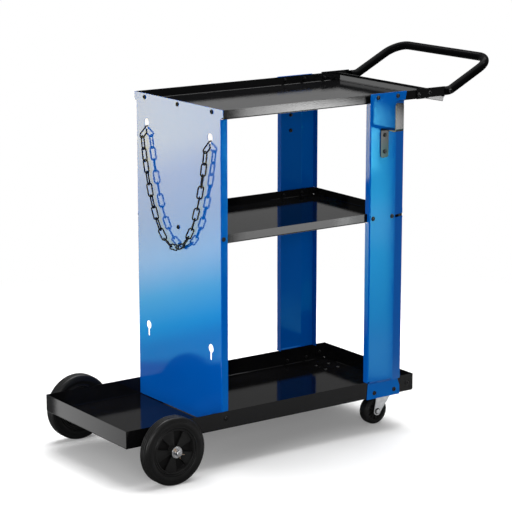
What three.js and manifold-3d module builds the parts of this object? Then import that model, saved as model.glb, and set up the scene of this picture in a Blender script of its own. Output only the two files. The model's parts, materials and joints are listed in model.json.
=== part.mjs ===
import * as THREE from 'three';
import { mergeVertices } from 'three/addons/utils/BufferGeometryUtils.js';
import Module from 'manifold-3d';

const wasm = await Module();
wasm.setup();

// Welding cart in millimetres: +X towards the handle, +Y to the right hand of the person
// who pushes it, +Z up, floor at z = 0. The outer face of the rear panel lies at x = 0
// inside the root group, which is then shifted so that the origin is the middle of the base.

// Sheet metal
const SHEET = 1.5;
const FOLD = 3;
const FIT = 0.3;

// Rear tyres and axle, which set the height of the tray
const TYRE_R = 92;
const TYRE_HALF = 18;
const TYRE_BORE = 62;
const TYRE_SIDES = 32;
const GROOVE = 2;
const AXLE_R = 8;
const AXLE_CLEAR = 6.5;

// Bottom tray
const TRAY_REAR = -300;
const TRAY_FRONT = 652;
const TRAY_HALF = 207;
const TRAY_UNDER = TYRE_R + AXLE_R + AXLE_CLEAR;
const TRAY_RIM = 48;
const TRAY_LAP = 34;
const TRAY_TOP = TRAY_UNDER + TRAY_RIM;

// Front posts, plan
const POST_SETBACK = 170;
const POST_REAR = TRAY_FRONT - POST_SETBACK;
const POST_FACE = 88;
const POST_STRIP = 36;
const POST_STRIP_TURN = THREE.MathUtils.degToRad(15);
const POST_FLANGE = 19;
const POST_REACH = 124;
const POST_FRONT = POST_REAR + POST_REACH;

// Shelves: the middle one stands inside the panel's flanges, the top one is wider than the tray
const PANEL_HALF = TRAY_HALF - SHEET - FIT;
const SHELF_REAR = SHEET + FIT;
const SHELF_LAP = 16;
const MIDDLE_HALF = PANEL_HALF - SHEET - FIT;
const MIDDLE_RISE = 526.5;
const MIDDLE_TOP = TRAY_UNDER + MIDDLE_RISE;
const MIDDLE_RIM = 23.5;
const MIDDLE_UNDER = MIDDLE_TOP - MIDDLE_RIM;
const MIDDLE_CORNER = 4;
const TOP_OVERHANG = 39;
const TOP_FRONT = TRAY_FRONT + TOP_OVERHANG;
const TOP_SPREAD = 7.5;
const TOP_HALF = TRAY_HALF + TOP_SPREAD;
const TOP_RISE = 856.5;
const TOP_TOP = TRAY_UNDER + TOP_RISE;
const TOP_RIM = 24.6;
const TOP_UNDER = TOP_TOP - TOP_RIM;

// Rear panel
const PANEL_FLANGE = 20;
const PANEL_BASE = TRAY_UNDER + FOLD + 2 * FIT;
const PANEL_FLANGE_TOP = TOP_UNDER - 1;
const PANEL_HEAD_SLANT = 6;
const KEYHOLE_INSET = 51.2;
const KEYHOLE_Y = PANEL_HALF - KEYHOLE_INSET;
const KEYHOLE_R = 12;
const KEYHOLE_SLOT_HALF = 4;
const KEYHOLE_DROP = 28;
const KEYHOLE_BELOW_TOP = 79;
const KEYHOLE_UPPER = TOP_TOP - KEYHOLE_BELOW_TOP;
const KEYHOLE_ABOVE_TRAY = 211.5;
const KEYHOLE_LOWER = TRAY_UNDER + KEYHOLE_ABOVE_TRAY;

// Front posts, rise
const POST_OUTER = TOP_HALF + FIT + SHEET;
const POST_FLANGE_TOP = TOP_UNDER - 1.2;
const POST_FLANGE_BASE = TRAY_TOP + 3.5;
const POST_TAB_RISE = 1.5;
const POST_FOOT_BASE = TRAY_UNDER - 2.5;
const POST_FOOT_INSET = 4;
const POST_FOOT_REAR = POST_REAR + POST_FOOT_INSET;
const POST_FOOT_FRONT = POST_FRONT - POST_FOOT_INSET;
const POST_NOTCH_SLACK = 2;
const SPACER_R = 7;
const SPACER_BORE = 3.4;
const SPACER_INSET = 12;
const SPACER_X = [POST_REAR + SPACER_INSET, POST_REAR + POST_FACE - SPACER_INSET + 2];
const SPACER_Z = MIDDLE_TOP - SPACER_INSET;

// Cable hooks
const HOOK_WIDTH = 26.5;
const HOOK_THICK = 3;
const HOOK_INSET = 47;
const HOOK_X = POST_REAR + HOOK_INSET;
const HOOK_BELOW_TOP = 18;
const HOOK_TIP = TOP_TOP - HOOK_BELOW_TOP;
const HOOK_RISE = 76.5;
const HOOK_ARM = HOOK_TIP - HOOK_RISE;
const HOOK_PLATE = 80.5;
const HOOK_BASE = HOOK_ARM - HOOK_PLATE;
const HOOK_THROAT = 66.7;
const HOOK_REACH = POST_OUTER + HOOK_THROAT;
const HOOK_FOLD = 6;

// Handle and its brackets
const BAR_THICK = 3;
const BAR_HEIGHT = 28;
const BAR_LAP = 50;
const BAR_REAR = TOP_FRONT - BAR_LAP;
const BAR_LENGTH = 99;
const BAR_FRONT = BAR_REAR + BAR_LENGTH;
const BAR_BELOW_TOP = 11;
const BAR_Z = TOP_TOP - BAR_BELOW_TOP;
const TONGUE_LENGTH = 11;
const TONGUE_HEIGHT = 10;
const LIP_REAR = BAR_REAR + 24;
const LIP_PEAK = BAR_FRONT - 16;
const LIP_DEPTH = 17;
const LIP_THICK = 2;
const HANDLE_R = 12.5;
const HANDLE_WALL = 1.5;
const BAR_HALF = TOP_HALF + FIT + BAR_THICK / 2;
const HANDLE_INSET = 6.4;
const HANDLE_HALF = BAR_HALF - HANDLE_INSET;
const HANDLE_KNEE = BAR_FRONT + 24;
const HANDLE_LENGTH = 154;
const HANDLE_REACH = HANDLE_KNEE + HANDLE_LENGTH;
const HANDLE_RISE = 77.5;
const HANDLE_KNEE_BEND = 40;
const HANDLE_CORNER_BEND = 53;

// Rear axle, its brackets and the hubs
const AXLE_INSET = 119;
const AXLE_X = TRAY_REAR + AXLE_INSET;
const WHEEL_CLEAR = 17;
const WHEEL_Y = TRAY_HALF + WHEEL_CLEAR + TYRE_HALF;
const HUB_HALF = TYRE_HALF + 2;
const HUB_RIM = 7;
const HUB_BOSS = 14;
const HUB_WEB = 3;
const SPOKES = 5;
const SPOKE_HALF = 11;
const SPOKE_WEDGE = THREE.MathUtils.degToRad(20);
const SPOKE_TURN = THREE.MathUtils.degToRad(41);
const WASHER_R = 15.5;
const WASHER_THICK = 2.5;
const PIN_WIRE = 0.9;
const PIN_HOLE = 2.3;
const PIN_Y = WHEEL_Y + HUB_HALF + 2 * FIT + WASHER_THICK + PIN_HOLE;
const AXLE_HALF = PIN_Y + 10;
const AXLE_PLATE = 3;
const AXLE_PLATE_INSET = 10.5;
const AXLE_PLATE_Y = TRAY_HALF - AXLE_PLATE_INSET;
const AXLE_PLATE_HALF = 27;
const AXLE_FOOT = 32;

// Casters
const CASTER_SETBACK = 55;
const CASTER_X = TRAY_FRONT - CASTER_SETBACK;
const CASTER_INSET = 85;
const CASTER_Y = TRAY_HALF - CASTER_INSET;
const CASTER_PLATE_HALF = 31;
const CASTER_PLATE = 2.5;
const CASTER_CUP_R = 22;
const CASTER_CUP = 8;
const KING_R = 6;
const KING_HEAD_R = 9;
const KING_HEAD = 3;
const CASTER_R = 40;
const CASTER_HALF = 15;
const CASTER_HUB_HALF = CASTER_HALF + 2.5;
const CASTER_SIDES = 24;
const CASTER_TRAIL = 20;
const FORK_PLATE = 2.5;
const FORK_HALF = CASTER_HUB_HALF + 1;
const FORK_REAR = -25;
const FORK_FRONT = 25;
const FORK_EYE = 12;
const BOLT_R = 4;
const BOLT_HEAD_R = 6.5;
const BOLT_HEAD = 3.5;
const CUP_UNDER = TRAY_UNDER - FIT - CASTER_PLATE - CASTER_CUP;

// Chain
const LINKS = 21;
const LINK_PITCH = 33;
const LINK_WIRE = 4;
const LINK_WIDTH = 18;
const LINK_PLAY = 0.6;
const LINK_TWIST = THREE.MathUtils.degToRad(35);
const SLOT_TILT = THREE.MathUtils.degToRad(46);

const BLUE = { color: 0x0078c8, roughness: 0.25, metalness: 0.1 };
const BLACK = { color: 0x17181a, roughness: 0.3, metalness: 0.2 };
const ZINC = { color: 0xb9bcc0, roughness: 0.35, metalness: 0.9 };
const RUBBER = { color: 0x1b1b1c, roughness: 0.8, metalness: 0 };
const PLASTIC = { color: 0x202123, roughness: 0.45, metalness: 0 };
const CHAIN_BLACK = { color: 0x151516, roughness: 0.4, metalness: 0.3 };

const v2 = (x, y) => new THREE.Vector2(x, y);
const v3 = (x, y, z) => new THREE.Vector3(x, y, z);

// A closed geometry as a solid for joining and cutting
function solid(geometry) {
  const plain = geometry.clone();
  plain.deleteAttribute('normal');
  plain.deleteAttribute('uv');
  const merged = mergeVertices(plain, 1e-4);
  return new wasm.Manifold(new wasm.Mesh({
    numProp: 3,
    vertProperties: Float32Array.from(merged.attributes.position.array),
    triVerts: Uint32Array.from(merged.index.array),
  }));
}

function geometryOf(body) {
  const { vertProperties, triVerts } = body.getMesh();
  const geometry = new THREE.BufferGeometry();
  geometry.setAttribute('position', new THREE.BufferAttribute(Float32Array.from(vertProperties), 3));
  geometry.setIndex(Array.from(triVerts));
  const faceted = geometry.toNonIndexed();
  faceted.computeVertexNormals();
  return faceted;
}

const join = (first, ...rest) => geometryOf(rest.reduce((sum, g) => sum.add(solid(g)), solid(first)));
const cut = (base, ...tools) => geometryOf(tools.reduce((sum, g) => sum.subtract(solid(g)), solid(base)));
const common = (a, b) => geometryOf(solid(a).intersect(solid(b)));

// Outlines drawn in (y, z), (x, z) or (x, y) and extruded along the third axis
const TO_X = new THREE.Matrix4().makeBasis(v3(0, 1, 0), v3(0, 0, 1), v3(1, 0, 0));
const TO_Y = new THREE.Matrix4().makeBasis(v3(1, 0, 0), v3(0, 0, 1), v3(0, -1, 0));

function prism(outline, depth, curveSegments) {
  const shape = outline instanceof THREE.Shape ? outline : new THREE.Shape(outline);
  return new THREE.ExtrudeGeometry(shape, { depth, bevelEnabled: false, curveSegments });
}

function alongX(outline, from, to, curveSegments = 6) {
  return prism(outline, to - from, curveSegments).applyMatrix4(TO_X).translate(from, 0, 0);
}

function alongY(outline, a, b, curveSegments = 6) {
  const top = Math.max(a, b);
  return prism(outline, top - Math.min(a, b), curveSegments).applyMatrix4(TO_Y).translate(0, top, 0);
}

function alongZ(outline, from, to, curveSegments = 6) {
  return prism(outline, to - from, curveSegments).translate(0, 0, from);
}

function block(x0, x1, y0, y1, z0, z1) {
  const size = [x1 - x0, y1 - y0, z1 - z0].map(Math.abs);
  return new THREE.BoxGeometry(...size).translate((x0 + x1) / 2, (y0 + y1) / 2, (z0 + z1) / 2);
}

function rod(radius, from, to, sides) {
  const height = to - from;
  return new THREE.CylinderGeometry(radius, radius, height, sides).translate(0, from + height / 2, 0);
}

// A ring or disc turned about Y, from a closed profile of [radius, y]; flats lie at the true radius
function turned(profile, sides) {
  const grow = 1 / Math.cos(Math.PI / sides);
  const points = profile.map(([r, y]) => v2(r * grow, y));
  return new THREE.LatheGeometry(points, sides, Math.PI / sides);
}

// Outline of a folded sheet, from the line through the middle of its thickness
function folded(line, thickness, bend, steps = 3) {
  const path = line.map(([x, y]) => v2(x, y));
  const left = [];
  const right = [];
  const add = (point, normal) => {
    left.push(point.clone().addScaledVector(normal, thickness / 2));
    right.unshift(point.clone().addScaledVector(normal, -thickness / 2));
  };
  const heading = path.slice(1).map((p, i) => p.clone().sub(path[i]).normalize());
  const across = heading.map((d) => v2(-d.y, d.x));
  add(path[0], across[0]);
  for (let i = 1; i < path.length - 1; i += 1) {
    const turn = Math.atan2(heading[i - 1].cross(heading[i]), heading[i - 1].dot(heading[i]));
    const hand = Math.sign(turn);
    const start = path[i].clone().addScaledVector(heading[i - 1], -bend * Math.tan(Math.abs(turn) / 2));
    const centre = start.clone().addScaledVector(across[i - 1], hand * bend);
    for (let k = 0; k <= steps; k += 1) {
      const normal = across[i - 1].clone().rotateAround(v2(0, 0), (turn * k) / steps);
      add(centre.clone().addScaledVector(normal, -hand * bend), normal);
    }
  }
  add(path[path.length - 1], across[across.length - 1]);
  return [...left, ...right];
}

// Polyline with its corners rounded: points with their directions
function rounded(corners, bends, steps) {
  const points = [corners[0]];
  const headings = [corners[1].clone().sub(corners[0]).normalize()];
  for (let i = 1; i < corners.length - 1; i += 1) {
    const into = corners[i].clone().sub(corners[i - 1]).normalize();
    const out = corners[i + 1].clone().sub(corners[i]).normalize();
    const turn = into.angleTo(out);
    const axis = into.clone().cross(out).normalize();
    const radial = axis.clone().cross(into).negate();
    const start = corners[i].clone().addScaledVector(into, -bends[i - 1] * Math.tan(turn / 2));
    const centre = start.clone().addScaledVector(radial, -bends[i - 1]);
    for (let k = 0; k <= steps; k += 1) {
      const angle = (turn * k) / steps;
      points.push(centre.clone().addScaledVector(radial.clone().applyAxisAngle(axis, angle), bends[i - 1]));
      headings.push(into.clone().applyAxisAngle(axis, angle));
    }
  }
  points.push(corners[corners.length - 1]);
  headings.push(headings[headings.length - 1]);
  return { points, headings };
}

// Round bar swept along points with their directions, as a closed loop or with flat ends
function swept({ points, headings }, radius, sides, loop = false) {
  const positions = [];
  const index = [];
  let across = v3(0, 0, 1).cross(headings[0]);
  if (across.lengthSq() < 0.01) across = v3(1, 0, 0);
  across.normalize();
  points.forEach((point, i) => {
    if (i > 0) {
      const swing = new THREE.Quaternion().setFromUnitVectors(headings[i - 1], headings[i]);
      across.applyQuaternion(swing);
    }
    for (let k = 0; k < sides; k += 1) {
      const angle = ((k + 0.5) / sides) * 2 * Math.PI;
      const spoke = across.clone().applyAxisAngle(headings[i], angle);
      positions.push(...point.clone().addScaledVector(spoke, radius).toArray());
    }
  });
  const rings = points.length;
  for (let i = 0; i < (loop ? rings : rings - 1); i += 1) {
    for (let k = 0; k < sides; k += 1) {
      const a = i * sides + k;
      const b = i * sides + ((k + 1) % sides);
      const c = ((i + 1) % rings) * sides + ((k + 1) % sides);
      const d = ((i + 1) % rings) * sides + k;
      index.push(a, b, c, a, c, d);
    }
  }
  for (let k = 1; !loop && k < sides - 1; k += 1) {
    const last = (rings - 1) * sides;
    index.push(0, k + 1, k, last, last + k, last + k + 1);
  }
  const geometry = new THREE.BufferGeometry();
  geometry.setAttribute('position', new THREE.Float32BufferAttribute(positions, 3));
  geometry.setIndex(index);
  geometry.computeVertexNormals();
  return geometry;
}

const cart = new THREE.Group();

function piece(name, geometry, look, parent = cart) {
  const mesh = new THREE.Mesh(geometry, new THREE.MeshStandardMaterial(look));
  mesh.name = name;
  parent.add(mesh);
  return mesh;
}

const HANDS = [['left', -1], ['right', 1]];

// Tray folded from one sheet: floor and side rims, end rims between them, and laps inside the corners
function tray(rear, front, half, under, top, lap) {
  const wall = half - SHEET / 2;
  const floor = under + SHEET / 2;
  const bend = FOLD - SHEET / 2;
  const sides = folded([[-wall, top], [-wall, floor], [wall, floor], [wall, top]], SHEET, bend);
  const [back, fore] = [rear + SHEET / 2, front - SHEET / 2];
  const ends = folded([[back, top], [back, floor], [fore, floor], [fore, top]], SHEET, bend);
  const inside = half - SHEET;
  const parts = [alongX(sides, rear + FOLD, front - FOLD), alongY(ends, -inside, inside)];
  for (const hand of [-1, 1]) {
    parts.push(block(rear, front, hand * inside, hand * half, under + FOLD, top));
    for (const [end, way] of [[rear, 1], [front, -1]]) {
      const outline = [
        v2(end + way * SHEET / 2, under + 2 * FOLD),
        v2(end + way * lap, under + 2 * FOLD),
        v2(end + way * lap, top - 2 * FOLD),
        v2(end + way * (lap - FOLD), top - FOLD),
        v2(end + way * SHEET / 2, top - FOLD),
      ];
      parts.push(alongY(outline, hand * (inside - SHEET), hand * inside));
    }
  }
  return join(...parts);
}

piece('bottom_tray', tray(TRAY_REAR, TRAY_FRONT, TRAY_HALF, TRAY_UNDER, TRAY_TOP, TRAY_LAP), BLACK);
piece('top_shelf', tray(SHELF_REAR, TOP_FRONT, TOP_HALF, TOP_UNDER, TOP_TOP, SHELF_LAP), BLACK);

// The middle shelf stands inside the panel's flanges, so its rear corners are clipped for their folds
function middleShelf() {
  const clips = [-1, 1].map((hand) => block(
    SHELF_REAR - 1, SHELF_REAR + MIDDLE_CORNER,
    hand * (MIDDLE_HALF - MIDDLE_CORNER), hand * (MIDDLE_HALF + 1),
    MIDDLE_UNDER - 1, MIDDLE_TOP + 1,
  ));
  return cut(tray(SHELF_REAR, POST_FRONT, MIDDLE_HALF, MIDDLE_UNDER, MIDDLE_TOP, SHELF_LAP), ...clips);
}

piece('middle_shelf', middleShelf(), BLACK);

// Round entry above a narrow slot
function keyhole(y, z) {
  const shape = new THREE.Shape();
  const neck = Math.asin(KEYHOLE_SLOT_HALF / KEYHOLE_R);
  const foot = z - KEYHOLE_DROP;
  shape.absarc(y, z, KEYHOLE_R, -Math.PI / 2 + neck, 1.5 * Math.PI - neck, false);
  shape.lineTo(y - KEYHOLE_SLOT_HALF, foot);
  shape.absarc(y, foot, KEYHOLE_SLOT_HALF, Math.PI, 2 * Math.PI, false);
  return alongX(shape, -1, SHEET + 1, 7);
}

function rearPanel() {
  const wall = PANEL_HALF - SHEET / 2;
  const plan = folded(
    [[PANEL_FLANGE, -wall], [SHEET / 2, -wall], [SHEET / 2, wall], [PANEL_FLANGE, wall]],
    SHEET,
    FOLD - SHEET / 2,
  );
  const inset = PANEL_HALF - FOLD;
  const profile = [
    [inset, PANEL_FLANGE_TOP - 4],
    [inset, PANEL_FLANGE_TOP],
    [PANEL_HALF, PANEL_FLANGE_TOP + 2],
    [TOP_HALF, PANEL_FLANGE_TOP + 2 + PANEL_HEAD_SLANT],
    [TOP_HALF, TOP_TOP],
  ];
  const mirrored = profile.map(([y, z]) => [-y, z]).reverse();
  const head = [...profile, ...mirrored].map(([y, z]) => v2(y, z));
  const body = join(alongZ(plan, PANEL_BASE, PANEL_FLANGE_TOP), alongX(head, 0, SHEET));
  const keys = [-KEYHOLE_Y, KEYHOLE_Y].flatMap((y) => [keyhole(y, KEYHOLE_UPPER), keyhole(y, KEYHOLE_LOWER)]);
  return cut(body, ...keys);
}

piece('rear_panel', rearPanel(), BLUE);

// Front post: flanged face with a strip turned inward, a flat tab on the top shelf's rim and a
// joggled foot on the tray's rim; the strip and flanges are notched where the middle shelf passes
function frontPost(hand) {
  const skin = POST_OUTER - SHEET / 2;
  const knee = POST_REAR + POST_FACE;
  const nose = knee + POST_STRIP * Math.cos(POST_STRIP_TURN);
  const noseSkin = skin - POST_STRIP * Math.sin(POST_STRIP_TURN);
  const plan = folded(
    [
      [POST_REAR + SHEET / 2, hand * (skin - POST_FLANGE)],
      [POST_REAR + SHEET / 2, hand * skin],
      [knee, hand * skin],
      [nose, hand * noseSkin],
      [nose, hand * (noseSkin - POST_FLANGE)],
    ],
    SHEET,
    FOLD - SHEET / 2,
  );
  const shaft = alongZ(plan, POST_FLANGE_BASE, POST_FLANGE_TOP);

  const tabTop = TOP_TOP + POST_TAB_RISE;
  const tab = alongY(
    [
      v2(POST_REAR + FOLD, POST_FLANGE_TOP - 4),
      v2(knee - FOLD, POST_FLANGE_TOP - 4),
      v2(knee - FOLD, POST_FLANGE_TOP + 1.5),
      v2(POST_FRONT - 4, POST_FLANGE_TOP + 4),
      v2(POST_FRONT, tabTop),
      v2(POST_REAR, tabTop),
      v2(POST_REAR, POST_FLANGE_TOP + 2),
    ],
    hand * (POST_OUTER - SHEET),
    hand * POST_OUTER,
  );

  const footSkin = TRAY_HALF + FIT + SHEET / 2;
  const joggle = folded(
    [
      [hand * skin, POST_FLANGE_BASE + 4],
      [hand * skin, TRAY_TOP + 2],
      [hand * footSkin, TRAY_TOP - 6],
      [hand * footSkin, POST_FOOT_BASE],
    ],
    SHEET,
    FOLD - SHEET / 2,
  );
  const footOutline = [
    v2(POST_REAR + FOLD + 5, POST_FLANGE_BASE + 5),
    v2(POST_REAR + FOLD + 5, TRAY_TOP - 4),
    v2(POST_FOOT_REAR, POST_FOOT_BASE - 1),
    v2(POST_FOOT_FRONT, POST_FOOT_BASE - 1),
    v2(POST_FOOT_FRONT, TRAY_TOP - 26),
    v2(POST_FOOT_FRONT - 8, TRAY_TOP - 4),
    v2(knee - FOLD, TRAY_TOP - 1),
    v2(knee - FOLD, POST_FLANGE_BASE + 5),
  ];
  const foot = common(
    alongX(joggle, POST_FOOT_REAR - 1, POST_FOOT_FRONT + 1),
    alongY(footOutline, hand * (TRAY_HALF - 1), hand * (POST_OUTER + 1)),
  );

  const low = MIDDLE_UNDER - POST_NOTCH_SLACK;
  const high = MIDDLE_TOP + POST_NOTCH_SLACK;
  const inner = POST_OUTER - POST_FLANGE - SHEET;
  const rearNotch = block(
    POST_REAR - 1, POST_REAR + FOLD + 1, hand * inner, hand * (MIDDLE_HALF + POST_NOTCH_SLACK), low, high,
  );
  const noseNotch = block(
    knee + 2, nose + FOLD, hand * (noseSkin - POST_FLANGE - 1), hand * (MIDDLE_HALF + POST_NOTCH_SLACK), low, high,
  );
  const stripNotch = block(
    knee + 2, nose + FOLD, hand * MIDDLE_HALF, hand * (POST_OUTER + 1), MIDDLE_UNDER + POST_NOTCH_SLACK, high,
  );
  return cut(join(shaft, tab, foot), rearNotch, noseNotch, stripNotch);
}

// Flat strip hook: plate on the post, arm outward, upright tip
function cableHook(hand) {
  const plate = POST_OUTER + FIT + HOOK_THICK / 2;
  const tip = HOOK_REACH - HOOK_THICK / 2;
  const side = folded(
    [[hand * plate, HOOK_BASE], [hand * plate, HOOK_ARM], [hand * tip, HOOK_ARM], [hand * tip, HOOK_TIP]],
    HOOK_THICK,
    HOOK_FOLD,
    4,
  );
  const [x0, x1] = [HOOK_X - HOOK_WIDTH / 2, HOOK_X + HOOK_WIDTH / 2];
  const r = HOOK_WIDTH / 4;
  const outline = new THREE.Shape();
  outline.absarc(x1 - r, HOOK_BASE + r, r, -Math.PI / 2, 0, false);
  outline.absarc(x1 - r, HOOK_TIP - r, r, 0, Math.PI / 2, false);
  outline.absarc(x0 + r, HOOK_TIP - r, r, Math.PI / 2, Math.PI, false);
  outline.absarc(x0 + r, HOOK_BASE + r, r, Math.PI, 1.5 * Math.PI, false);
  const plan = alongY(outline, hand * (POST_OUTER - 1), hand * (HOOK_REACH + 1), 4);
  return common(alongX(side, x0 - 1, x1 + 1), plan);
}

// Flat bar on the top shelf's rim, with a tongue in the tube and a lip bent out below it
function handleBracket(hand) {
  const low = BAR_Z - BAR_HEIGHT / 2;
  const inner = hand * (TOP_HALF + FIT);
  const outer = hand * (TOP_HALF + FIT + BAR_THICK);
  const bar = block(BAR_REAR, BAR_FRONT, inner, outer, low, BAR_Z + BAR_HEIGHT / 2);
  const reach = BAR_FRONT + TONGUE_LENGTH;
  const tongue = block(BAR_FRONT - 1, reach, inner, outer, BAR_Z - TONGUE_HEIGHT / 2, BAR_Z + TONGUE_HEIGHT / 2);
  const flat = [v2(LIP_REAR, 0), v2(BAR_FRONT - LIP_THICK, 0), v2(LIP_PEAK, hand * LIP_DEPTH)];
  const lip = alongZ(flat, 0, LIP_THICK).rotateX((-hand * Math.PI) / 4);
  lip.translate(0, hand * BAR_HALF, low + 1);
  return join(bar, tongue, lip);
}

for (const [name, hand] of HANDS) {
  piece(`front_post_${name}`, frontPost(hand), BLUE);
  piece(`cable_hook_${name}`, cableHook(hand), BLACK);
  piece(`handle_bracket_${name}`, handleBracket(hand), BLACK);
}

// Sleeves between the posts and the middle shelf
const spacerHalf = (POST_OUTER - SHEET - MIDDLE_HALF) / 2 - FIT;
const spacerProfile = [
  [SPACER_BORE, -spacerHalf], [SPACER_R, -spacerHalf], [SPACER_R, spacerHalf],
  [SPACER_BORE, spacerHalf], [SPACER_BORE, -spacerHalf],
];
const spacer = turned(spacerProfile, 12);
const spacerY = MIDDLE_HALF + FIT + spacerHalf;
SPACER_X.flatMap((x) => [[x, -spacerY], [x, spacerY]]).forEach(([x, y], i) => {
  piece(`shelf_spacer_${i + 1}`, spacer, ZINC).position.set(x, y, SPACER_Z);
});

// Bent tube handle, open at both ends
function handleTube() {
  const run = (x0) => [
    v3(x0, -HANDLE_HALF, BAR_Z),
    v3(HANDLE_KNEE, -HANDLE_HALF, BAR_Z),
    v3(HANDLE_REACH, -HANDLE_HALF, BAR_Z + HANDLE_RISE),
    v3(HANDLE_REACH, HANDLE_HALF, BAR_Z + HANDLE_RISE),
    v3(HANDLE_KNEE, HANDLE_HALF, BAR_Z),
    v3(x0, HANDLE_HALF, BAR_Z),
  ];
  const bends = [HANDLE_KNEE_BEND, HANDLE_CORNER_BEND, HANDLE_CORNER_BEND, HANDLE_KNEE_BEND];
  const start = BAR_FRONT + FIT;
  const outside = swept(rounded(run(start), bends, 4), HANDLE_R, 12);
  const inside = swept(rounded(run(start - 1), bends, 4), HANDLE_R - HANDLE_WALL, 12);
  return cut(outside, inside);
}

piece('handle_tube', handleTube(), BLACK);

// Split pin from one wire: spread legs below, two runs through the axle, a round eye above
function splitPin() {
  const half = PIN_WIRE + 0.1;
  const drop = AXLE_R + 1.5;
  const eye = 3.4;
  const corners = [v3(6, 0, -drop - 8), v3(half, 0, -drop), v3(half, 0, AXLE_R + 1)];
  for (let k = 0; k <= 6; k += 1) {
    const angle = THREE.MathUtils.degToRad(-60 + k * 50);
    corners.push(v3(eye * Math.cos(angle), 0, AXLE_R + 5 + eye * Math.sin(angle)));
  }
  corners.push(v3(-half, 0, AXLE_R + 1), v3(-half, 0, -drop), v3(-6, 0, -drop - 8));
  const bends = corners.slice(2).map(() => 0.9);
  return swept(rounded(corners, bends, 1), PIN_WIRE, 6);
}

function wheelHub() {
  const rim = TYRE_BORE - FIT;
  const bore = AXLE_R + FIT;
  const ring = turned(
    [
      [bore, -HUB_HALF], [HUB_BOSS, -HUB_HALF], [HUB_BOSS + 1, -HUB_WEB], [rim - HUB_RIM, -HUB_WEB],
      [rim - HUB_RIM + 2, -TYRE_HALF + 2], [rim, -TYRE_HALF + 2], [rim, TYRE_HALF - 2],
      [rim - HUB_RIM + 2, TYRE_HALF - 2], [rim - HUB_RIM, HUB_WEB], [HUB_BOSS + 1, HUB_WEB],
      [HUB_BOSS, HUB_HALF], [bore, HUB_HALF], [bore, -HUB_HALF],
    ],
    TYRE_SIDES,
  );
  const [inner, outer] = [HUB_BOSS - 2, rim - HUB_RIM / 2];
  const spread = Math.tan(SPOKE_WEDGE);
  const outline = [
    v2(inner, -inner * spread), v2(outer, -outer * spread), v2(outer, outer * spread), v2(inner, inner * spread),
  ];
  const spokes = [];
  for (let k = 0; k < SPOKES; k += 1) {
    const angle = SPOKE_TURN + (k / SPOKES) * 2 * Math.PI;
    spokes.push(alongY(outline, -SPOKE_HALF, SPOKE_HALF).rotateY(-angle));
  }
  return join(ring, ...spokes);
}

// Ribbed solid tyre
const tyreProfile = [
  [TYRE_BORE, -TYRE_HALF + 2], [TYRE_R - 14, -TYRE_HALF], [TYRE_R - 4, -TYRE_HALF + 1.5], [TYRE_R, -TYRE_HALF + 6],
];
for (const y of [-7, 0, 7]) {
  tyreProfile.push([TYRE_R, y - 1.6], [TYRE_R - GROOVE, y], [TYRE_R, y + 1.6]);
}
tyreProfile.push(
  [TYRE_R, TYRE_HALF - 6], [TYRE_R - 4, TYRE_HALF - 1.5], [TYRE_R - 14, TYRE_HALF],
  [TYRE_BORE, TYRE_HALF - 2], [TYRE_BORE, -TYRE_HALF + 2],
);

function ringProfile(bore, radius, half) {
  return [[bore, -half], [radius, -half], [radius, half], [bore, half], [bore, -half]];
}

// Angle bracket under the tray with a round eye for the axle
function axleBracket(hand) {
  const top = TRAY_UNDER - FIT - AXLE_PLATE / 2;
  const section = folded(
    [[hand * (AXLE_PLATE_Y - AXLE_FOOT), top], [hand * AXLE_PLATE_Y, top], [hand * AXLE_PLATE_Y, 0]],
    AXLE_PLATE,
    4,
  );
  const eye = 2 * AXLE_R;
  const outline = new THREE.Shape();
  outline.moveTo(-AXLE_PLATE_HALF, TRAY_UNDER);
  outline.absarc(0, TYRE_R, eye, Math.PI, 2 * Math.PI, false);
  outline.lineTo(AXLE_PLATE_HALF, TRAY_UNDER - 12);
  outline.lineTo(AXLE_PLATE_HALF, TRAY_UNDER);
  outline.lineTo(-AXLE_PLATE_HALF, TRAY_UNDER);
  const strap = common(
    alongX(section, -AXLE_PLATE_HALF, AXLE_PLATE_HALF),
    alongY(outline, hand * (AXLE_PLATE_Y - AXLE_FOOT - 1), hand * (AXLE_PLATE_Y + AXLE_PLATE), 8),
  );
  const bore = rod(AXLE_R + FIT, -AXLE_PLATE, AXLE_PLATE, 24).translate(0, hand * AXLE_PLATE_Y, TYRE_R);
  return cut(strap, bore);
}

function rearAxle() {
  const bar = turned(
    [[0, -AXLE_HALF], [AXLE_R - 1, -AXLE_HALF], [AXLE_R, -AXLE_HALF + 1], [AXLE_R, AXLE_HALF - 1],
      [AXLE_R - 1, AXLE_HALF], [0, AXLE_HALF]],
    24,
  );
  const holes = [-1, 1].map((hand) => {
    const hole = rod(PIN_HOLE, -AXLE_R - 2, AXLE_R + 2, 12).rotateX(Math.PI / 2);
    return hole.translate(0, hand * PIN_Y, 0);
  });
  return cut(bar, ...holes);
}

piece('rear_axle', rearAxle(), ZINC).position.set(AXLE_X, 0, TYRE_R);

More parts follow.
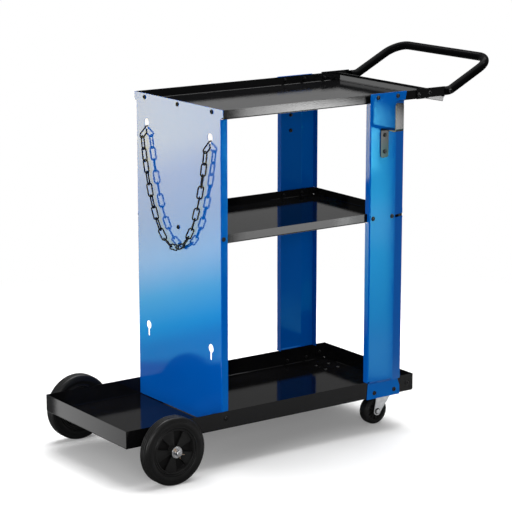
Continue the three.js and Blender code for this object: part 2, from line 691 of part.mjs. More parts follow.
for (const [name, hand] of HANDS) {
  piece(`axle_bracket_${name}`, axleBracket(hand), BLACK).position.x = AXLE_X;
  const onAxle = new THREE.Group();
  onAxle.position.set(AXLE_X, 0, TYRE_R);
  cart.add(onAxle);

  const from = AXLE_PLATE_Y + AXLE_PLATE / 2 + FIT;
  const to = WHEEL_Y - HUB_HALF - FIT;
  const sleeve = turned(ringProfile(AXLE_R + FIT, AXLE_R + 3, (to - from) / 2), 20);
  piece(`axle_spacer_${name}`, sleeve, ZINC, onAxle).position.y = hand * (from + to) / 2;

  piece(`tyre_${name}`, turned(tyreProfile, TYRE_SIDES), RUBBER, onAxle).position.y = hand * WHEEL_Y;
  piece(`wheel_hub_${name}`, wheelHub(), PLASTIC, onAxle).position.y = hand * WHEEL_Y;

  const washer = turned(ringProfile(AXLE_R + FIT, WASHER_R, WASHER_THICK / 2), 24);
  const washerY = WHEEL_Y + HUB_HALF + FIT + WASHER_THICK / 2;
  piece(`axle_washer_${name}`, washer, ZINC, onAxle).position.y = hand * washerY;
  piece(`split_pin_${name}`, splitPin(), ZINC, onAxle).position.y = hand * PIN_Y;
}

// Caster plate with its race cup and king pin, turned about Z
function casterPlate() {
  const top = TRAY_UNDER - FIT;
  const plate = block(
    -CASTER_PLATE_HALF, CASTER_PLATE_HALF, -CASTER_PLATE_HALF, CASTER_PLATE_HALF, top - CASTER_PLATE, top,
  );
  const neck = CUP_UNDER - FORK_PLATE - 2 * FIT;
  const stem = turned(
    [
      [0, neck - KING_HEAD], [KING_HEAD_R, neck - KING_HEAD], [KING_HEAD_R, neck], [KING_R, neck],
      [KING_R, CUP_UNDER], [CASTER_CUP_R - 3, CUP_UNDER], [CASTER_CUP_R, CUP_UNDER + 3],
      [CASTER_CUP_R, top - CASTER_PLATE / 2], [0, top - CASTER_PLATE / 2],
    ],
    24,
  );
  return join(plate, stem.rotateX(Math.PI / 2));
}

// Fork bent from one strap, tapering to the axle bolt that it holds
function casterFork() {
  const leg = FORK_HALF + FORK_PLATE / 2;
  const crown = CUP_UNDER - FIT - FORK_PLATE / 2;
  const section = folded([[-leg, 0], [-leg, crown], [leg, crown], [leg, 0]], FORK_PLATE, 4);
  const side = new THREE.Shape();
  side.moveTo(FORK_REAR, CUP_UNDER);
  side.lineTo(FORK_REAR, CUP_UNDER - 22);
  side.absarc(-CASTER_TRAIL, CASTER_R, FORK_EYE, Math.PI * 0.98, Math.PI * 1.92, false);
  side.lineTo(FORK_FRONT, CUP_UNDER - 16);
  side.lineTo(FORK_FRONT, CUP_UNDER);
  const strap = common(
    alongX(section, FORK_REAR - FORK_EYE, FORK_FRONT + 1),
    alongY(side, -leg - FORK_PLATE, leg + FORK_PLATE, 8),
  );
  const head = leg + FORK_PLATE / 2 + BOLT_HEAD;
  const bolt = rod(BOLT_R, -head + 1, head - 1, 16);
  const heads = [[-head, 1 - leg], [leg - 1, head]].map(([a, b]) => rod(BOLT_HEAD_R, a, b, 6));
  const parts = [bolt, ...heads].map((g) => g.translate(-CASTER_TRAIL, 0, CASTER_R));
  const bore = rod(KING_R + FIT, crown - FORK_PLATE, crown + FORK_PLATE, 20).rotateX(Math.PI / 2);
  return cut(join(strap, ...parts), bore);
}

const casterProfile = [
  [BOLT_R + FIT, -CASTER_HUB_HALF], [9, -CASTER_HUB_HALF], [10, -CASTER_HALF + 6], [25, -CASTER_HALF + 6],
  [27, -CASTER_HALF], [CASTER_R - 5, -CASTER_HALF], [CASTER_R, -CASTER_HALF + 6], [CASTER_R, CASTER_HALF - 6],
  [CASTER_R - 5, CASTER_HALF], [27, CASTER_HALF], [25, CASTER_HALF - 6], [10, CASTER_HALF - 6],
  [9, CASTER_HUB_HALF], [BOLT_R + FIT, CASTER_HUB_HALF], [BOLT_R + FIT, -CASTER_HUB_HALF],
];

for (const [name, hand] of HANDS) {
  const caster = new THREE.Group();
  caster.position.set(CASTER_X, hand * CASTER_Y, 0);
  cart.add(caster);
  piece(`caster_plate_${name}`, casterPlate(), ZINC, caster);
  piece(`caster_fork_${name}`, casterFork(), ZINC, caster);
  const wheel = piece(`caster_wheel_${name}`, turned(casterProfile, CASTER_SIDES), PLASTIC, caster);
  wheel.position.set(-CASTER_TRAIL, 0, CASTER_R);
}

// One chain link in the XY plane, long axis along X
const linkRound = (LINK_WIDTH - LINK_WIRE) / 2;
const linkRun = LINK_PITCH / 2 + LINK_WIRE / 2 - linkRound;

function chainLink() {
  const path = { points: [], headings: [] };
  for (const [centre, start] of [[linkRun, -90], [-linkRun, 90]]) {
    for (let k = 0; k <= 5; k += 1) {
      const angle = THREE.MathUtils.degToRad(start + k * 36);
      path.points.push(v3(centre + linkRound * Math.cos(angle), linkRound * Math.sin(angle), 0));
      path.headings.push(v3(-Math.sin(angle), Math.cos(angle), 0));
    }
  }
  return swept(path, LINK_WIRE / 2, 6, true);
}

const link = chainLink();

// Sets a link with its long axis along one direction and its flat side square to another
function layLink(mesh, centre, long, flat) {
  const across = flat.clone().cross(long).normalize();
  const square = long.clone().cross(across);
  mesh.quaternion.setFromRotationMatrix(new THREE.Matrix4().makeBasis(long, across, square));
  mesh.position.copy(centre);
}

// The slot links lean out of the upper keyholes, each held by a link that hangs behind the panel
const lean = v3(-Math.cos(SLOT_TILT), 0, -Math.sin(SLOT_TILT));
const below = v3(Math.sin(SLOT_TILT), 0, -Math.cos(SLOT_TILT));
const step = LINK_PITCH - LINK_PLAY;
const seat = linkRound - LINK_WIRE - LINK_PLAY;
const endX = SHEET + FIT + LINK_WIRE / 2;
const slotX = endX - seat * below.x + linkRun * lean.x;
const slotFoot = KEYHOLE_UPPER - KEYHOLE_DROP - KEYHOLE_SLOT_HALF;
const wireRest = (LINK_WIRE / 2 + LINK_PLAY) / Math.cos(SLOT_TILT);
const wireDrop = linkRound / Math.cos(SLOT_TILT) + slotX * Math.tan(SLOT_TILT);
const slotZ = slotFoot + wireRest + wireDrop;

const slotCentre = v3(slotX, 0, slotZ);
const hang = slotCentre.clone().addScaledVector(lean, linkRun);
hang.z -= seat + (LINK_WIRE + LINK_PLAY) / 2;
const endTop = slotCentre.clone().addScaledVector(below, seat).addScaledVector(lean, -linkRun);

for (const [name, hand] of HANDS) {
  const side = v3(0, hand * KEYHOLE_Y, 0);
  layLink(piece(`slot_link_${name}`, link, CHAIN_BLACK), slotCentre.clone().add(side), lean, v3(0, 1, 0));
  const centre = endTop.clone().add(side).add(v3(0, 0, -linkRun - linkRound));
  layLink(piece(`end_link_${name}`, link, CHAIN_BLACK), centre, v3(0, 0, -1), v3(1, 0, 0));
}

// Hanging links: each slope grows by an equal amount, as in a chain under its own weight
function slopeStep(span) {
  let low = 0.01;
  let high = 5;
  for (let i = 0; i < 60; i += 1) {
    const middle = (low + high) / 2;
    let reach = 0;
    for (let k = 0; k < LINKS; k += 1) reach += step / Math.hypot(1, (k - (LINKS - 1) / 2) * middle);
    if (reach > span) low = middle;
    else high = middle;
  }
  return (low + high) / 2;
}

const chain = new THREE.Group();
chain.position.copy(hang);
cart.add(chain);

const slope = slopeStep(2 * KEYHOLE_Y);
const joint = v3(0, -KEYHOLE_Y, 0);
for (let k = 0; k < LINKS; k += 1) {
  const long = v3(0, 1, (k - (LINKS - 1) / 2) * slope).normalize();
  const ease = Math.min(1, k / 3, (LINKS - 1 - k) / 3);
  const flat = v3(1, 0, 0).applyAxisAngle(long, LINK_TWIST * ease + (k % 2) * (Math.PI / 2));
  const mesh = piece(`chain_link_${String(k + 1).padStart(2, '0')}`, link, CHAIN_BLACK, chain);
  layLink(mesh, joint.clone().addScaledVector(long, step / 2), long, flat);
  joint.addScaledVector(long, step);
}

cart.position.x = -(TRAY_REAR + HANDLE_REACH + HANDLE_R) / 2;

export default cart;
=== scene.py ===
"""Welding cart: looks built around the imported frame, in metres, in the frame's own axes."""

import json
import math

import bmesh
import bpy
import numpy as np
from mathutils import Matrix, Quaternion, Vector


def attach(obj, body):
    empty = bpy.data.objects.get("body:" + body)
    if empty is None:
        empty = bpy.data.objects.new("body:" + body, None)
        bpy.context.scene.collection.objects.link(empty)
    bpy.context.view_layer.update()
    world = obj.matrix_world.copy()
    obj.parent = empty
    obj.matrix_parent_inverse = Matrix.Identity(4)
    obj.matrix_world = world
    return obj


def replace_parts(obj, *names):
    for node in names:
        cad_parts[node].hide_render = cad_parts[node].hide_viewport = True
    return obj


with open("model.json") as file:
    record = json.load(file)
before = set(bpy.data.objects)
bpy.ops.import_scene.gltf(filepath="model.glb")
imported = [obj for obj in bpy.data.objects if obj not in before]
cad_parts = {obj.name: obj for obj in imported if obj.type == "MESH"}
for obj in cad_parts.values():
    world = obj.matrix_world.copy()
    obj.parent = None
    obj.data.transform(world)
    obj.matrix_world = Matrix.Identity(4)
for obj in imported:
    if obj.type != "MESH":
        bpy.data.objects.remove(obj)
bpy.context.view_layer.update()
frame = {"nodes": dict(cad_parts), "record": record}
NODES = frame["nodes"]
HANDS = (("left", -1), ("right", 1))

# Places below are written in millimetres from the rear panel's outer face, as in the part's source
MM = 1000
PANEL_X = -0.31525


def at(x, y, z):
    return Vector((x / MM + PANEL_X, y / MM, z / MM))


def grey(level):
    return (level,) * 3


# Camera at the photograph's viewing angle, its focal length in picture widths
CAMERA_AZIMUTH = math.radians(-35.18)
CAMERA_ELEVATION = math.radians(12.70)
CAMERA_DISTANCE = 5.697
CAMERA_TARGET = at(255, 0, 508)
CAMERA_SENSOR = 36
FOCAL_WIDTHS = 2061 / 512

camera_data = bpy.data.cameras.new("camera")
camera_data.lens = CAMERA_SENSOR * FOCAL_WIDTHS
camera_data.sensor_width = CAMERA_SENSOR
camera = bpy.data.objects.new("camera", camera_data)
bpy.context.scene.collection.objects.link(camera)
camera_back = Vector((
    math.sin(CAMERA_AZIMUTH) * math.cos(CAMERA_ELEVATION),
    -math.cos(CAMERA_AZIMUTH) * math.cos(CAMERA_ELEVATION),
    math.sin(CAMERA_ELEVATION),
))
camera.location = CAMERA_TARGET + camera_back * CAMERA_DISTANCE
camera.rotation_mode = "QUATERNION"
camera.rotation_quaternion = (-camera_back).to_track_quat("-Z", "Y")
bpy.context.scene.camera = camera
bpy.context.scene.view_settings.view_transform = "Standard"


# Node helpers
def add_node(tree, kind, **settings):
    node = tree.nodes.new("ShaderNode" + kind)
    for setting, value in settings.items():
        setattr(node, setting, value)
    return node


def math_node(tree, operation, *values, clamp=False):
    """A Math node whose inputs are sockets or plain numbers."""
    node = add_node(tree, "Math", operation=operation, use_clamp=clamp)
    for socket, value in zip(node.inputs, values):
        if isinstance(value, bpy.types.NodeSocket):
            tree.links.new(value, socket)
        else:
            socket.default_value = value
    return node.outputs[0]


def map_range(tree, value, source, result, kind="LINEAR"):
    node = add_node(tree, "MapRange", interpolation_type=kind)
    node.inputs["From Min"].default_value, node.inputs["From Max"].default_value = source
    node.inputs["To Min"].default_value, node.inputs["To Max"].default_value = result
    tree.links.new(value, node.inputs["Value"])
    return node.outputs["Result"]


def split_axes(tree, vector):
    node = add_node(tree, "SeparateXYZ")
    tree.links.new(vector, node.inputs[0])
    return node.outputs


def colour_stops(tree, value, stops):
    """A ramp through stops of (position, colour)."""
    node = add_node(tree, "ValToRGB")
    elements = node.color_ramp.elements
    while len(elements) < len(stops):
        elements.new(0.5)
    for element, (position, colour) in zip(elements, stops):
        element.position = position
        element.color = (*colour, 1)
    tree.links.new(value, node.inputs["Fac"])
    return node.outputs["Color"]


def mix_shaders(tree, factor, first, second):
    node = add_node(tree, "MixShader")
    for socket, value in zip(node.inputs, (factor, first, second)):
        tree.links.new(value, socket)
    return node.outputs[0]


# Studio lamps: soft boxes, and cards that show only in reflections
OPEN_SPREAD = 180
GRID_SPREAD = 50


def area_light(name, place, target, size, watts, gloss_only=False, spread=OPEN_SPREAD):
    data = bpy.data.lights.new(name, "AREA")
    data.shape = "RECTANGLE"
    data.size, data.size_y = size
    data.energy = watts
    data.spread = math.radians(spread)
    light = bpy.data.objects.new(name, data)
    bpy.context.scene.collection.objects.link(light)
    light.location = place
    light.rotation_mode = "QUATERNION"
    light.rotation_quaternion = (Vector(target) - Vector(place)).to_track_quat("-Z", "Y")
    light.visible_camera = False
    light.visible_diffuse = not gloss_only
    return data


def fade_light(data, stops, axis, lean):
    """Colours a lamp from one edge to the other, with a lean along the edge."""
    data.use_nodes = True
    tree = data.node_tree
    emission = next(n for n in tree.nodes if n.type == "EMISSION")
    place = split_axes(tree, add_node(tree, "NewGeometry").outputs["Parametric"])
    level = math_node(tree, "MULTIPLY_ADD", place["X"], lean, place[axis])
    tree.links.new(colour_stops(tree, level, stops), emission.inputs["Color"])


def card(name, place, target, size, watts, stops=None, axis="Y", lean=0.0, spread=GRID_SPREAD):
    data = area_light(name, place, target, size, watts, gloss_only=True, spread=spread)
    if stops:
        fade_light(data, stops, axis, lean)


CARD_STOPS = [
    (0.139, (0.0, 0.10, 0.14)), (0.1915, (0.0, 0.20, 0.28)), (0.285, (0.08, 0.31, 0.31)),
    (0.385, (0.32, 0.44, 0.36)), (0.511, (0.40, 0.42, 0.26)), (0.63, (0.50, 0.48, 0.29)),
    (0.726, (0.71, 0.655, 0.33)), (1.0, (0.80, 0.73, 0.39)),
]
POST_STOPS = [
    (0.0, grey(0.25)), (0.15, grey(0.40)), (0.25, (0.26, 0.54, 0.54)), (0.48, (0.39, 0.80, 0.80)),
    (0.55, (0.92, 0.95, 0.95)), (0.62, (0.98, 1.0, 1.0)), (0.69, (0.48, 1.0, 1.0)),
    (0.865, (0.34, 0.7, 0.7)), (0.895, grey(0.7)), (1.0, grey(0.6)),
]
SIDE_STOPS = [(0.0, grey(0.7)), (0.35, grey(1.0)), (1.0, grey(0.8))]
TOP_STOPS = [(0.11, grey(0.0)), (0.14, grey(0.35)), (0.6, grey(1.2)), (1.0, grey(0.5))]
RIM_STOPS = [(0.0, grey(1.0)), (1.0, grey(0.45))]
card(
    "softbox_rear", (-0.878, 0.798, 0.412), (-0.328, 0.018, 0.632), (0.42, 1.1), 1.5,
    CARD_STOPS, lean=-0.078,
)
card("card_post", (0.595, -0.762, 0.391), (0.045, 0.018, 0.611), (0.14, 0.85), 0.28, POST_STOPS)
card("card_side", (0.535, -1.061, 0.538), (-0.015, -0.281, 0.758), (0.36, 0.57), 0.47, SIDE_STOPS)
card("card_top", (0.608, -1.147, 0.686), (-0.05, -0.2145, 0.95), (0.5, 0.22), 0.66, TOP_STOPS, "X")
card("card_front", (0.36, 0.0, 0.941), (0.5, 0.0, 0.941), (0.42, 0.024), 0.13, spread=OPEN_SPREAD)
card("card_lip", (1.03, -0.48, 1.87), (0.37, -0.225, 0.93), (0.3, 0.3), 0.42)
card(
    "card_rim", (-0.767, 0.2125, 0.075), (0.0, 0.2125, 0.075), (0.425, 0.15), 0.6,
    RIM_STOPS, "X", spread=OPEN_SPREAD,
)
area_light("softbox_left", (-3.0, -0.95, 0.8), (-0.2, 0.0, 0.4), (0.8, 1.2), 33)
area_light("softbox_front", (-2.0, -3.7, 1.3), (0.0, 0.0, 0.5), (1.6, 1.2), 44)
area_light("overhead", (0.45, 0.45, 3.0), (0.1, 0.05, 0.0), (3.0, 2.6), 150)

# World: white to the camera, a graded dome to all else, twice as strong in reflections
DOME_STOPS = [
    (0.0, grey(0.06)), (0.10, grey(0.20)), (0.16, grey(0.19)), (0.22, grey(0.13)), (0.30, grey(0.09)),
    (0.75, grey(0.45)), (1.0, grey(0.5)),
]
DOME_STRENGTH = 1.0
WHITE = (1, 1, 1, 1)


def build_world():
    world = bpy.data.worlds.new("studio")
    bpy.context.scene.world = world
    world.use_nodes = True
    tree = world.node_tree
    tree.nodes.clear()
    path = add_node(tree, "LightPath").outputs
    height = split_axes(tree, add_node(tree, "TexCoord").outputs["Generated"])["Z"]
    dome = add_node(tree, "Background")
    tree.links.new(colour_stops(tree, height, DOME_STOPS), dome.inputs["Color"])
    strength = math_node(tree, "ADD", path["Is Glossy Ray"], DOME_STRENGTH)
    tree.links.new(strength, dome.inputs["Strength"])
    white = add_node(tree, "Background")
    white.inputs["Color"].default_value = WHITE
    sky = mix_shaders(tree, path["Is Camera Ray"], dome.outputs[0], white.outputs[0])
    tree.links.new(sky, add_node(tree, "OutputWorld").inputs["Surface"])


build_world()

# Floor: lit near the cart and plain white further out, dark in reflections but for one pale patch
FLOOR_HALF = 40.0
FLOOR_CORNERS = ((-1, -1), (1, -1), (1, 1), (-1, 1))
FLOOR_FADE = (1.1, 2.0)
FLOOR_TONE = (0.22, 0.88)
CAMERA_LIFT = 0.14
PALE_PLACE = (0.3, -0.68, 0.0)
PALE_FADE = (0.45, 0.8)
PALE_SHARE = (0.65, 0.0)
FAR_GLOSS = 0.06
FAR_STRENGTH = (0.2, 1.0)
UNIT = (0.0, 1.0)


def build_floor():
    mesh = bpy.data.meshes.new("floor")
    mesh.from_pydata([(x * FLOOR_HALF, y * FLOOR_HALF, 0) for x, y in FLOOR_CORNERS], [], [(0, 1, 2, 3)])
    floor = bpy.data.objects.new("floor", mesh)
    bpy.context.scene.collection.objects.link(floor)
    material = bpy.data.materials.new("floor")
    material.use_nodes = True
    mesh.materials.append(material)
    tree = material.node_tree
    tree.nodes.clear()
    path = add_node(tree, "LightPath").outputs
    glossy, seen = path["Is Glossy Ray"], path["Is Camera Ray"]
    place = add_node(tree, "TexCoord").outputs["Object"]

    aside = add_node(tree, "VectorMath", operation="DISTANCE")
    aside.inputs[1].default_value = PALE_PLACE
    tree.links.new(place, aside.inputs[0])
    patch = map_range(tree, aside.outputs["Value"], PALE_FADE, PALE_SHARE, "SMOOTHSTEP")
    pale = math_node(tree, "MULTIPLY_ADD", glossy, patch, seen, clamp=True)
    lit = add_node(tree, "BsdfDiffuse")
    tree.links.new(map_range(tree, pale, UNIT, FLOOR_TONE), lit.inputs["Color"])
    glow = add_node(tree, "Emission")
    tree.links.new(math_node(tree, "MULTIPLY", seen, CAMERA_LIFT), glow.inputs["Strength"])
    near = add_node(tree, "AddShader")
    tree.links.new(lit.outputs[0], near.inputs[0])
    tree.links.new(glow.outputs[0], near.inputs[1])

    far = add_node(tree, "Emission")
    far_seen = math_node(tree, "MULTIPLY_ADD", glossy, FAR_GLOSS, seen, clamp=True)
    tree.links.new(map_range(tree, far_seen, UNIT, FAR_STRENGTH), far.inputs["Strength"])
    reach = add_node(tree, "VectorMath", operation="LENGTH")
    tree.links.new(place, reach.inputs[0])
    blend = map_range(tree, reach.outputs["Value"], FLOOR_FADE, UNIT, "SMOOTHSTEP")
    ground = mix_shaders(tree, blend, near.outputs[0], far.outputs[0])
    tree.links.new(ground, add_node(tree, "OutputMaterial").inputs["Surface"])


build_floor()

# Procedural materials
NOISE_ROUGHNESS = 0.55
NOISE_SPAN = (0.35, 0.65)


class Look:
    """A Principled material whose varying sockets are driven by noise in the piece's own space."""

    def __init__(self, name, sockets):
        self.material = bpy.data.materials.new(name)
        self.material.use_nodes = True
        self.tree = self.material.node_tree
        self.shader = self.tree.nodes["Principled BSDF"]
        for socket, value in sockets.items():
            self.shader.inputs[socket].default_value = value
        self.place = add_node(self.tree, "TexCoord").outputs["Object"]

    def drive(self, socket, value):
        self.tree.links.new(value, self.shader.inputs[socket])

    def noise(self, scale, detail):
        node = add_node(self.tree, "TexNoise")
        node.inputs["Scale"].default_value = scale
        node.inputs["Detail"].default_value = detail
        node.inputs["Roughness"].default_value = NOISE_ROUGHNESS
        self.tree.links.new(self.place, node.inputs["Vector"])
        return node.outputs["Fac"]

    def tint(self, scale, detail, first, second):
        stops = list(zip(NOISE_SPAN, (first, second)))
        self.drive("Base Color", colour_stops(self.tree, self.noise(scale, detail), stops))

    def sheen(self, scale, detail, low, high):
        self.drive("Roughness", map_range(self.tree, self.noise(scale, detail), NOISE_SPAN, (low, high)))

    def grain(self, scale, detail, strength, distance):
        node = add_node(self.tree, "Bump")
        node.inputs["Strength"].default_value = strength
        node.inputs["Distance"].default_value = distance
        self.tree.links.new(self.noise(scale, detail), node.inputs["Height"])
        self.drive("Normal", node.outputs["Normal"])


# Each look: fixed sockets, then three noises by scale and detail, for the two colours of the tint, the
# roughness range of the sheen, and the strength and depth of the grain
LOOK_ROWS = {
    "blue_paint": (
        {"Specular IOR Level": 0.30},
        (2.2, 3, (0.0, 0.116, 0.555), (0.0, 0.130, 0.590)), (60, 3, 0.08, 0.11), (420, 2, 0.045, 0.001),
    ),
    "black_paint": (
        {"Specular IOR Level": 0.17},
        (5, 4, (0.0024, 0.0024, 0.0027), (0.0042, 0.0042, 0.0046)),
        (45, 4, 0.05, 0.09), (520, 2, 0.05, 0.001),
    ),
    "zinc": (
        {"Metallic": 1.0},
        (70, 5, (0.44, 0.445, 0.455), (0.57, 0.575, 0.585)), (120, 4, 0.28, 0.42), (600, 3, 0.06, 0.0006),
    ),
    "tyre_rubber": (
        {"Specular IOR Level": 0.22},
        (40, 6, grey(0.004), grey(0.007)), (90, 4, 0.30, 0.40), (700, 3, 0.08, 0.0006),
    ),
    "hub_plastic": (
        {"Specular IOR Level": 0.2},
        (30, 4, grey(0.006), grey(0.010)), (160, 3, 0.36, 0.46), (900, 2, 0.08, 0.0006),
    ),
    # Darkest black for painted shade: the floors of the hub's pockets and the thin rings under the caster
    # bolts' heads
    "hub_recess": (
        {"Specular IOR Level": 0.2},
        (30, 4, grey(0.0012), grey(0.002)), (160, 3, 0.5, 0.6), (900, 2, 0.08, 0.0006),
    ),
    "caster_plastic": (
        {"Specular IOR Level": 0.2},
        (30, 4, grey(0.005), grey(0.008)), (160, 3, 0.42, 0.55), (900, 2, 0.08, 0.0006),
    ),
    "chain_black": (
        {"Specular IOR Level": 0.14},
        (90, 4, (0.003, 0.003, 0.0035), (0.007, 0.007, 0.0075)),
        (140, 4, 0.26, 0.40), (500, 3, 0.08, 0.0006),
    ),
    # A darker copy of the black paint with weaker reflections, for the handle tube: painted shade
    "tube_black": (
        {"Specular IOR Level": 0.3, "IOR": 1.08},
        (5, 4, (0.0016, 0.0016, 0.0018), (0.003, 0.003, 0.0033)),
        (45, 4, 0.14, 0.20), (520, 2, 0.04, 0.001),
    ),
    "screw_black": (
        {"Specular IOR Level": 0.22},
        (200, 3, (0.003, 0.003, 0.0035), (0.006, 0.006, 0.0065)),
        (300, 3, 0.25, 0.38), (900, 2, 0.06, 0.0004),
    ),
    "pin_brass": (
        {"Metallic": 1.0},
        (260, 3, (0.50, 0.36, 0.25), (0.62, 0.47, 0.34)), (320, 3, 0.28, 0.40), (900, 2, 0.06, 0.0004),
    ),
}
# Painted reflection colour: white on faces that look along X or Z, the paint's blue on faces that look
# along Y
PAINTED_REFLECTION_TINT_STOPS = [(0.3, grey(1)), (0.8, (0.0, 0.80, 1.0))]


def paint_sideways_reflection_tint(look):
    """Painted reflection colour: faces that look sideways along Y reflect in the paint's blue, other faces
    in white.
    """
    normal = add_node(look.tree, "NewGeometry").outputs["True Normal"]
    sideways = math_node(look.tree, "ABSOLUTE", split_axes(look.tree, normal)["Y"])
    look.drive("Specular Tint", colour_stops(look.tree, sideways, PAINTED_REFLECTION_TINT_STOPS))


def make_look(name, sockets, tint, sheen, grain):
    look = Look(name, sockets)
    look.tint(*tint)
    look.sheen(*sheen)
    look.grain(*grain)
    if name == "blue_paint":
        paint_sideways_reflection_tint(look)
    return look.material


LOOKS = {name: make_look(name, *row) for name, row in LOOK_ROWS.items()}
FOLD_STEP = 40
POST_FOLD_STEP = 50
SLOT_OF = {s["node"]: s["material_slot"] for s in frame["record"]["subparts"]}
for name, node in NODES.items():
    node.data.materials.clear()
    node.data.materials.append(LOOKS[SLOT_OF[name]])
    node.data.polygons.foreach_set("use_smooth", [True] * len(node.data.polygons))
    step = POST_FOLD_STEP if name.startswith("front_post") else FOLD_STEP
    node.data.set_sharp_from_angle(angle=math.radians(step))
    soften = node.modifiers.new("soft_folds", "WEIGHTED_NORMAL")
    soften.keep_sharp = True

# Mesh helpers: each adds a closed shell to a bmesh
ON_AXIS = 1e-9
ROUND_RING, ROUND_RISE, ROUND_TIP = 0.7, 0.6, 0.9
EDGE_SHARP = 35


def add_grid(bm, rings, loop_rings):
    """Rings of points joined by quads; a ring of one point closes to a fan."""
    made = [[bm.verts.new(p) for p in ring] for ring in rings]
    pairs = list(zip(made, made[1:]))
    if loop_rings:
        pairs.append((made[-1], made[0]))
    for a, b in pairs:
        count = max(len(a), len(b))
        for k in range(count):
            n = (k + 1) % count
            corners = [a[k % len(a)], a[n % len(a)], b[n % len(b)], b[k % len(b)]]
            bm.faces.new(list(dict.fromkeys(corners)))
    return made


def add_prism(bm, rings):
    """Rings of points joined by quads, with a face over each end."""
    made = add_grid(bm, rings, False)
    bm.faces.new(made[0][::-1])
    bm.faces.new(made[-1])


def add_turned(bm, profile, place, segments, closed=False, facets=None):
    """A profile of (radius, height) in millimetres, turned about place's Z axis.

    Without closed, the profile starts and ends on the axis. facets gives, for some profile numbers, the
    number of flats of a polygon that this ring follows.
    """
    rings = []
    for i, (radius, height) in enumerate(profile):
        radius, height = radius / MM, height / MM
        if radius < ON_AXIS:
            rings.append([place @ Vector((0, 0, height))])
            continue
        ring = []
        for k in range(segments):
            angle = 2 * math.pi * k / segments
            r = radius
            if facets and i in facets:
                part = 2 * math.pi / facets[i]
                r = radius / math.cos(angle % part - part / 2)
            ring.append(place @ Vector((r * math.cos(angle), r * math.sin(angle), height)))
        rings.append(ring)
    add_grid(bm, rings, closed)


def tube_rings(points, radius, sides, loop):
    count = len(points)
    headings = []
    for i in range(count):
        before = points[i - 1] if loop or i else points[0]
        after = points[(i + 1) % count] if loop or i < count - 1 else points[-1]
        headings.append((after - before).normalized())
    across = headings[0].orthogonal().normalized()
    rings = []
    for i in range(count):
        if i:
            across = headings[i - 1].rotation_difference(headings[i]) @ across
        side = headings[i].cross(across)
        ring = []
        for k in range(sides):
            angle = 2 * math.pi * (k + 0.5) / sides
            ring.append(points[i] + (across * math.cos(angle) + side * math.sin(angle)) * radius)
        rings.append(ring)
    return rings


def round_end(end, inner, ring, radius):
    """The rings that round a tube off beyond its last ring."""
    way = (end - inner).normalized()
    shoulder = [end + (p - end) * ROUND_RING + way * radius * ROUND_RISE for p in ring]
    return [shoulder, [end + way * radius * ROUND_TIP]]


def add_tube(bm, points, radius, sides, loop=False):
    rings = tube_rings(points, radius, sides, loop)
    if not loop:
        first = round_end(points[0], points[1], rings[0], radius)
        last = round_end(points[-1], points[-2], rings[-1], radius)
        rings = first[::-1] + rings + last
    add_grid(bm, rings, loop)


def rounded(corners, bends, steps):
    """A path through corners, each with its own bend."""
    points = [Vector(corners[0])]
    for before, corner, after, bend in zip(corners, corners[1:], corners[2:], bends):
        into = (corner - before).normalized()
        out = (after - corner).normalized()
        turn = into.angle(out)
        start = corner - into * bend * math.tan(turn / 2)
        axis = into.cross(out).normalized()
        radial = into.cross(axis)
        centre = start - radial * bend
        for k in range(steps + 1):
            points.append(centre + Quaternion(axis, turn * k / steps) @ radial * bend)
    points.append(Vector(corners[-1]))
    return points


def mirrored(side):
    return [(radius, -height) for radius, height in side]


def ring_profile(bore, radius, low, high, chamfer):
    return [
        (bore, low), (radius - chamfer, low), (radius, low + chamfer), (radius, high - chamfer),
        (radius - chamfer, high), (bore, high),
    ]


def facing(place, direction):
    """A matrix whose Z axis points along a direction, at a place."""
    turn = Vector(direction).to_track_quat("Z", "Y")
    return Matrix.Translation(place) @ turn.to_matrix().to_4x4()


def piece(name, bm, body, slot, sharp=EDGE_SHARP, look=None):
    """Turns a bmesh into a piece that rides on a body and takes its finish from a slot."""
    bmesh.ops.recalc_face_normals(bm, faces=bm.faces)
    mesh = bpy.data.meshes.new(name)
    bm.to_mesh(mesh)
    bm.free()
    mesh.polygons.foreach_set("use_smooth", [True] * len(mesh.polygons))
    mesh.set_sharp_from_angle(angle=math.radians(sharp))
    mesh.materials.append(LOOKS[look or slot])
    obj = bpy.data.objects.new(name, mesh)
    bpy.context.scene.collection.objects.link(obj)
    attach(obj, body)
    return obj


# Chain: every link is a smooth bent wire where the frame has its plain one
LINK_WIRE = 4.0
LINK_WIDTH = 18.0
LINK_LENGTH = 41.0
LINK_ARC_STEPS = 14
LINK_SIDES = 14
WELD_DIGITS = 7


def link_path():
    turn = (LINK_WIDTH - LINK_WIRE) / 2 / MM
    run = (LINK_LENGTH - LINK_WIDTH) / 2 / MM
    points = []
    for centre, start in ((run, -90), (-run, 90)):
        for k in range(LINK_ARC_STEPS + 1):
            angle = math.radians(start + 180 * k / LINK_ARC_STEPS)
            points.append(Vector((centre + turn * math.cos(angle), turn * math.sin(angle), 0)))
    return points


LINK_PATH = link_path()


def link_place(node):
    """The centre and axes of a node that is a chain link: longest along X, thinnest along Z."""
    points = np.array([v.co for v in NODES[node].data.vertices], float)
    middle = points.max(0) / 2 + points.min(0) / 2
    points = np.unique(points.round(WELD_DIGITS), axis=0)
    axes = np.linalg.svd(points - points.mean(0), full_matrices=False)[2]
    axes[2] = np.cross(axes[0], axes[1])
    turn = Matrix([list(row) for row in axes]).transposed().to_4x4()
    return Matrix.Translation(Vector(middle)) @ turn


def smooth_link(node, body):
    bm = bmesh.new()
    place = link_place(node)
    add_tube(bm, [place @ p for p in LINK_PATH], LINK_WIRE / 2 / MM, LINK_SIDES, loop=True)
    obj = piece("smooth_" + node, bm, body, "chain_black")
    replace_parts(obj, node)


for name in NODES:
    if name.startswith("chain_link_"):
        smooth_link(name, "chain")
    elif name.startswith(("slot_link_", "end_link_")):
        smooth_link(name, "frame")

